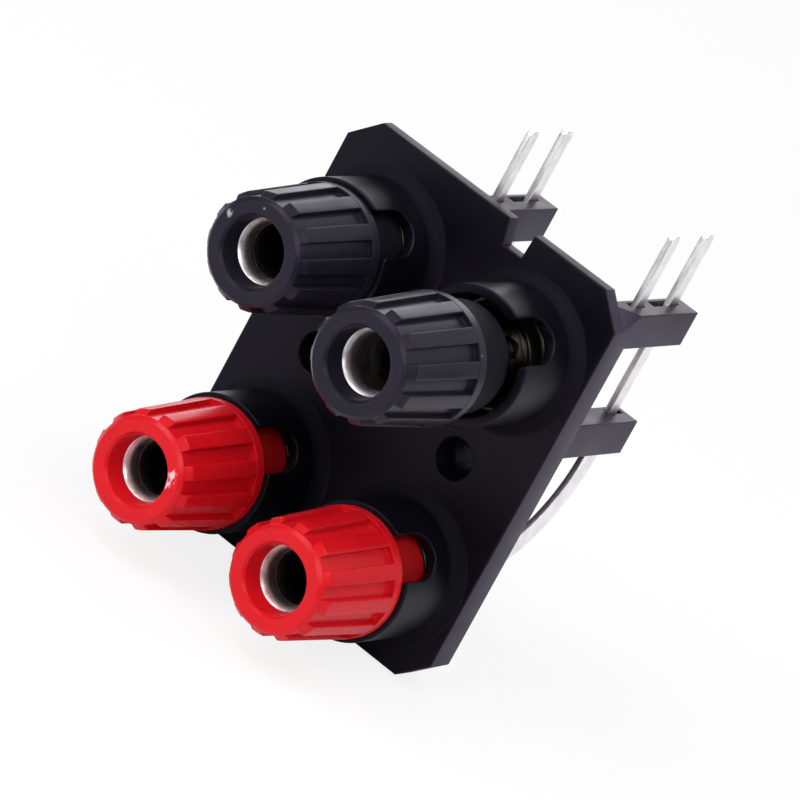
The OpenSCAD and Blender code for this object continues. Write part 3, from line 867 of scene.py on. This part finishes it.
step_z = PLATE_TOP - TOP_H
step_back = prism("step_back", [(TOP_T, step_z), (9, step_z), (9, 20), (TOP_T, 20)],
                  lambda end, u, v: (-20 + 40 * end, u, v))
plate_mesh = cut_away(solid("plate", [(a, -h, b) for a, b, h in verts], faces), step_back)
print("plate faces:", len(plate_mesh.polygons))

# %% [markdown]
# Four guide arms stick out behind the plate, one above each post, with slots that the
# pins and strips pass through; the upper two carry a thin raised lip. They are slabs
# too, drawn in the plane of X and Y and raised along Z. The outer upper arm would stand
# proud of the plate's cut corner, so its front end is sloped off from that corner. The
# sides that face right and up get a pale painted sheen, as if lit from there: those faces
# carry the attribute that paints it, but the walls of the screw holes don't.

# %% Guide arms
ARM_BACK, ARM_SLOPE, ARM_TOP, ARM_SINK, ARM_EDGE = 10.98, 1.6, 16.8, 0.1, 0.08
ARM_SPAN, SLOT_SPAN, LIP_SPAN, LIP_END = (4.4, 6.49), (4.70, 5.36), (4.41, 4.69), 9.7
UPPER_ARM = (13.9, ARM_TOP, TOP_T, [(2.9, 4.78), (6.1, 9.78)])
LOWER_ARM = (4.25, 7.15, PLATE_T, [(8.42, 10.38)])
arm_verts, arm_faces = [], []


def box_loop(x, span, y0, y1, hole=False):
    x0, x1 = x + span[0], x + span[1]
    loop = np.array([(x0, y0), (x1, y0), (x1, y1), (x0, y1)], float)
    return loop[::-1] if hole else loop


def add_part(verts, faces):
    shift = len(arm_verts)
    arm_verts.extend(verts)
    arm_faces.extend([v + shift for v in face] for face in faces)


for post, (x, _, _, _) in POSTS.items():
    upper = post.startswith("black")
    low, high, wall, slots = UPPER_ARM if upper else LOWER_ARM
    loops = [box_loop(x, ARM_SPAN, wall - ARM_SINK, ARM_BACK)]
    loops += [box_loop(x, SLOT_SPAN, a, b, hole=True) for a, b in slots]
    add_part(*slab(loops, low, high, ARM_EDGE))
    if upper:
        lip = box_loop(x, LIP_SPAN, wall - ARM_SINK, LIP_END)
        add_part(*slab([lip], high - 0.2, high + 0.4, 0.05))
rise = (ARM_TOP - PLATE_TOP + CORNER) / sqrt(2)
front = TOP_T - 0.05
slope_cut = prism(
    "slope_cut", [(front - ARM_SLOPE, -rise), (front + 2 * ARM_SLOPE, 2 * rise),
                  (front - 2 * ARM_SLOPE, 2 * rise), (front - 2 * ARM_SLOPE, -rise)],
    lambda end, u, v: (PLATE_X - CORNER + (-1 + 6 * end + v) / sqrt(2), u,
                       PLATE_TOP + (1 - 6 * end + v) / sqrt(2)))
arm_mesh = cut_away(solid("arms", arm_verts, arm_faces), slope_cut)
both = bmesh.new()
both.from_mesh(plate_mesh)
both.from_mesh(arm_mesh)
base_mesh = bpy.data.meshes.new("plate_and_arms")
both.to_mesh(base_mesh)
both.free()
# Painted sheen: faces turned right and up get a pale tone, as if lit from that side; hole walls
# are left out.
side_sheen_mark = base_mesh.attributes.new("painted_side_sheen", "FLOAT", "FACE")
for mark, face in zip(side_sheen_mark.data, base_mesh.polygons):
    facing = face.normal.x * 0.8 + face.normal.z * 0.5
    in_hole = face.center.x < 13 * MM and abs(face.center.z) < 2 * MM
    mark.value = 0.0 if in_hole else min(max((facing - 0.6) / 0.12, 0), 1)
print("plate and arms faces:", len(base_mesh.polygons))

# %% [markdown]
# A cup stands round each post. Its wall is cut by a slot with a round bottom, where a
# bare wire is laid in. The wall's upper edge is followed as one line: round the rim,
# down one side of the slot, through its bottom and up again. Rings built along that line
# step over the edge from outside to inside, so the rim and the slot get the same soft
# edge, and further rings carry the wall down to the plate and to the cup's floor. The
# curved foot is matt and gets a little painted shade in the crease: its points carry the
# `foot` attribute, which fades out at the plate.

# %% One cup
CUP_OUT, CUP_IN, CUP_TOP, FILLET, FLOOR_ROUND, SINK = 5.3, 4.5, 6.85, 1.0, 0.3, 0.3
SLOT_HALF, SLOT_FLOOR, EDGE, TURN_IN, NEAR_SLOT = 1.75, 2.8, 0.14, 0.3, 2.4
far = pi * CUP_OUT
lip_s = SLOT_HALF + TURN_IN
slot_f = SLOT_FLOOR + SLOT_HALF
line = [(s, CUP_TOP) for s in np.linspace(-far, -lip_s, 45)]
line += [(-lip_s + TURN_IN * cos(a), CUP_TOP - TURN_IN + TURN_IN * sin(a))
         for a in np.linspace(pi / 2, 0, 6)[1:]]
line += [(-SLOT_HALF, f) for f in np.linspace(CUP_TOP - TURN_IN, slot_f, 6)[1:]]
line += [(SLOT_HALF * cos(a), slot_f + SLOT_HALF * sin(a))
         for a in np.linspace(pi, 1.5 * pi, 13)[1:]]
line = np.array(line)
line = np.concatenate([line, (line[:-1] * (-1, 1))[::-1]])[:-1]
steps_along = np.roll(line, -1, 0) - np.roll(line, 1, 0)
steps_along[[0, -1]] = (1, 0)
steps_along /= np.linalg.norm(steps_along, axis=1)[:, None]
into = np.stack([steps_along[:, 1], -steps_along[:, 0]], 1)
length = np.concatenate([[0], np.cumsum(np.linalg.norm(np.diff(line, axis=0), axis=1))])
in_slot = np.flatnonzero(np.abs(line[:, 0]) < lip_s)
first, last = in_slot[0] - 1, in_slot[-1] + 1
foot_s = line[:, 0].copy()
foot_s[first:last + 1] = np.interp(length[first:last + 1], [length[first], length[last]],
                                   [-lip_s, lip_s])


def wrap(s, f, r):
    edge_turn = asin(min(NEAR_SLOT / r, 1))
    beyond = (np.abs(s) - NEAR_SLOT) / (far - NEAR_SLOT) * (pi - edge_turn)
    turn = np.where(np.abs(s) <= NEAR_SLOT, np.arcsin(np.clip(s / r, -1, 1)),
                    np.sign(s) * (edge_turn + beyond))
    turn = turn + SLOT_TURN
    return np.stack([r * np.cos(turn), r * np.sin(turn), np.broadcast_to(f, s.shape)], 1)


def at_edge(depth):
    moved = line + into * depth
    return moved[:, 0], moved[:, 1]


edge_s, edge_f = at_edge(EDGE + 0.03)


def wall(share, bottom, r):
    return wrap(foot_s + (edge_s - foot_s) * share, bottom + (edge_f - bottom) * share, r)


quarter = pi / 2
rings = [wrap(foot_s, -SINK, CUP_OUT + FILLET)]
for a in np.linspace(0, quarter, 6):
    rings.append(wrap(foot_s, FILLET - FILLET * cos(a),
                      CUP_OUT + FILLET - FILLET * sin(a)))
rings += [wall(share, FILLET, CUP_OUT) for share in (0.03, 0.3, 0.6, 0.85, 1.0)]
for a in np.linspace(0, quarter, 5):
    rings.append(wrap(*at_edge(EDGE * (1 - sin(a))), CUP_OUT - EDGE * (1 - cos(a))))
for a in np.linspace(quarter, 0, 5):
    rings.append(wrap(*at_edge(EDGE * (1 - sin(a))), CUP_IN + EDGE * (1 - cos(a))))
rings += [wall(share, CUP_FLOOR + FLOOR_ROUND, CUP_IN) for share in (1.0, 0.8, 0.5, 0.2, 0.0)]
for a in np.linspace(0, quarter, 4)[1:]:
    rings.append(wrap(foot_s, CUP_FLOOR + FLOOR_ROUND * (1 - sin(a)),
                      CUP_IN - FLOOR_ROUND * (1 - cos(a))))
rings += [wrap(foot_s, CUP_FLOOR, TAIL_HOLE), wrap(foot_s, -SINK, TAIL_HOLE)]
cup_mesh = solid("slotted_cup", *loft(rings, shut=True))
# Painted shade: the foot's points get a darker, matt tone, fading out at the plate.
foot_shade = cup_mesh.attributes.new("foot", "FLOAT", "POINT")
for mark, corner in zip(foot_shade.data, cup_mesh.vertices):
    r = corner.co.xy.length / MM
    fade = min((CUP_OUT + FILLET - r) / (0.3 * FILLET), 1)
    mark.value = fade if r > CUP_OUT + 0.01 else 0.0
print("cup faces:", len(cup_mesh.polygons))

# %% [markdown]
# Behind each screw hole, a round boss carries the pilot hole that the screw cuts its
# thread in. It is turned like the other round pieces.

# %% One screw boss
boss_mesh = solid("screw_boss", *turned(rounded([
    (1.2, -8.2, 0.12), (1.2, -2.2, 0.06), (2.6, -2.2, 0.0), (2.6, -8.2, 0.2)]), steps=64))
print("boss faces:", len(boss_mesh.polygons))

# %% [markdown]
# The cups stand on a grid of two columns and two rows, and the bosses on a line, so a
# second tree sets them out and joins them to the plate as one moulding.

# %% Tree: moulding
mould_tree, mould_keys, given = geometry_tree("moulding", [
    ("Cup", OBJECT), ("Boss", OBJECT), ("Column Pitch", FLOAT), ("Row Pitch", FLOAT),
    ("Screw Pitch", FLOAT), ("Finish", MATERIAL)])
grid = add(mould_tree, "GeometryNodeMeshGrid", {
    "Size X": given["Column Pitch"], "Size Y": given["Row Pitch"],
    "Vertices X": 2, "Vertices Y": 2})
half_pitch = calc(mould_tree, "MULTIPLY", given["Screw Pitch"], 0.5)
one_end, other_end = (
    add(mould_tree, "ShaderNodeCombineXYZ", {"X": x}).outputs[0]
    for x in (half_pitch, calc(mould_tree, "MULTIPLY", half_pitch, -1.0)))
pair = add(mould_tree, "GeometryNodeMeshLine", {
    "Count": 2, "Start Location": one_end, "Offset": other_end}, mode="END_POINTS")
standing = join(mould_tree, copies_of(mould_tree, given["Cup"], grid),
                copies_of(mould_tree, given["Boss"], pair))
lay = add(mould_tree, "GeometryNodeTransform", {"Geometry": standing, "Rotation": TIPPED})
end_tree(mould_tree, join(mould_tree, lay.outputs[0], given["Geometry"]), given["Finish"])
cup_source, boss_source = show("cup_source", cup_mesh), show("boss_source", boss_mesh)
body = grow("moulded_body", base_mesh, mould_tree, mould_keys, Cup=cup_source, Boss=boss_source,
            Column_Pitch=2 * COLUMN * MM, Row_Pitch=2 * ROW * MM, Screw_Pitch=2 * SCREW_X * MM,
            Finish=body_black)
for spare in (cup_source, boss_source):
    bpy.data.objects.remove(spare)
print("moulded body faces:", len(body.data.polygons))

# %% [markdown]
# The contact strips are stamped flat and then folded once. They are made the same way:
# the flat blank is a slab with a round lug, and a folding rule then carries each of its
# points round the bend. `a` runs along the blank, across the fold; `b` runs up it. A black
# post's strip is one short pin; a red post's curves out and up as a band to reach its pin.

# %% Contact strips
STRIP_T, LUG_R, TAB, FOLD_AT, FOLD_IN = 0.5, 3.3, 1.3, 4.38, 0.4
FOLD_LONG = (FOLD_IN + STRIP_T / 2) * pi / 2
FLAT_AT, UPRIGHT_Y, PIN_TIP, PIN_TOP = FOLD_AT + FOLD_LONG, 3.6, 0.5, 22.9
SHORT_BACK, LONG_BACK, LONG_PIN = 4.7, 4.8, (8.5, 9.7)
BAND_R, BAND_W, BAND_Z, BAND_BACK, BAND_TOP = 8.93, 1.8, 3.25, 10.3, 5.7


def folded(a, b, h):
    outer = FOLD_IN + STRIP_T
    if a <= FOLD_AT:
        return a, PLATE_T + h, b
    if a < FLAT_AT:
        turn = (a - FOLD_AT) / FOLD_LONG * pi / 2
        return (FOLD_AT + (outer - h) * sin(turn),
                UPRIGHT_Y - (outer - h) * cos(turn), b)
    return FOLD_AT + outer - h, UPRIGHT_Y + a - FLAT_AT, b


def blank_of(upright):
    bite = asin(TAB / LUG_R)
    lug = [(LUG_R * cos(t), LUG_R * sin(t))
           for t in np.linspace(bite, 2 * pi - bite, 49)]
    folds = [FOLD_AT + FOLD_LONG * k / 8 for k in range(9)]
    loop = lug + [(a, -TAB) for a in folds] + upright + [(a, TAB) for a in reversed(folds)]
    across = [(len(lug) + k, len(loop) - 1 - k) for k in range(9)]
    return np.array(loop), across


def pin_corners(y0, y1, top):
    return [(y1, top - PIN_TIP), (y1 - 0.3, top), (y0 + 0.3, top), (y0, top - PIN_TIP)]


def band_edge(z, r, start, stop):
    cy, cz = LONG_PIN[0] - BAND_R, BAND_Z - z
    turns = [0 if y is None else -acos((y - cy) / r) for y in (start, stop)]
    return [(cy + r * cos(t), cz + r * sin(t)) for t in np.linspace(*turns, 25)]


def strip_mesh(name, z, red):
    front = UPRIGHT_Y + 0.02
    if red:
        side = [(LONG_BACK, -TAB)] + band_edge(z, BAND_R + BAND_W, LONG_BACK, None)
        side += [(BAND_BACK, BAND_TOP - z), (LONG_PIN[1], BAND_TOP - z)]
        side += pin_corners(*LONG_PIN, PIN_TOP - z) + band_edge(z, BAND_R, None, front)
        side += [(front, TAB + 0.3)]
    else:
        side = [(SHORT_BACK, -TAB)] + pin_corners(UPRIGHT_Y, SHORT_BACK, PIN_TOP - z)
        side += [(UPRIGHT_Y, TAB + 0.02)]
    loop, across = blank_of([(FLAT_AT + y - UPRIGHT_Y, b) for y, b in side])
    hole = circle(0, 0, TAIL_HOLE, hole=True)
    verts, faces = slab([loop, hole], 0, STRIP_T, 0.06, 2, 0.01, across)
    return solid(name, [folded(*v) for v in verts], faces)


strips = {}
for post, (x, z, _, _) in POSTS.items():
    mesh = strip_mesh("contact_strip_" + post, z, post.startswith("red"))
    mesh.transform(Matrix.Translation((x * MM, 0, z * MM)))
    mesh.materials.append(tinned)
    strips[post] = show("contact_strip_" + post, mesh)
    print("strip", post, "faces:", len(mesh.polygons))

# %% [markdown]
# A hexagon nut clamps each lug to the plate. It is one more slab, with a wider round
# at its edges for the chamfer that nuts have.

# %% Nuts
NUT_FLATS, NUT_BACK, NUT_FRONT, NUT_EDGE = 7.0, -5.4, -3.2, 0.22
hexagon = circle(0, 0, NUT_FLATS / sqrt(3), 6)
verts, faces = slab([hexagon, circle(0, 0, TAIL_HOLE, 40, hole=True)],
                    NUT_BACK, NUT_FRONT, NUT_EDGE, 2)
nut_mesh = solid("nut", verts, faces)
nuts = {post: seat("hex_nut_" + post, nut_mesh, post, nickel) for post in POSTS}
print("nut faces:", len(nut_mesh.polygons))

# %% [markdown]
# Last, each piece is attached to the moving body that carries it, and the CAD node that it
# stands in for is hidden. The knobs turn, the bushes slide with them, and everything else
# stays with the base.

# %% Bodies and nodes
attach(body, "base")
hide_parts("terminal_body")
for post in POSTS:
    for piece, carrier, node, finish in (
            (knobs[post], "knob_" + post, "knob_" + post, post.split("_")[0] + "_plastic"),
            (bushes[post], "bush_" + post, "bush_" + post, "nickel"),
            (posts[post], "base", "post_" + post, "nickel"),
            (strips[post], "base", "strip_" + post, "tinned_metal"),
            (nuts[post], "base", "nut_" + post, "nickel")):
        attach(piece, carrier)
        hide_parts(node)
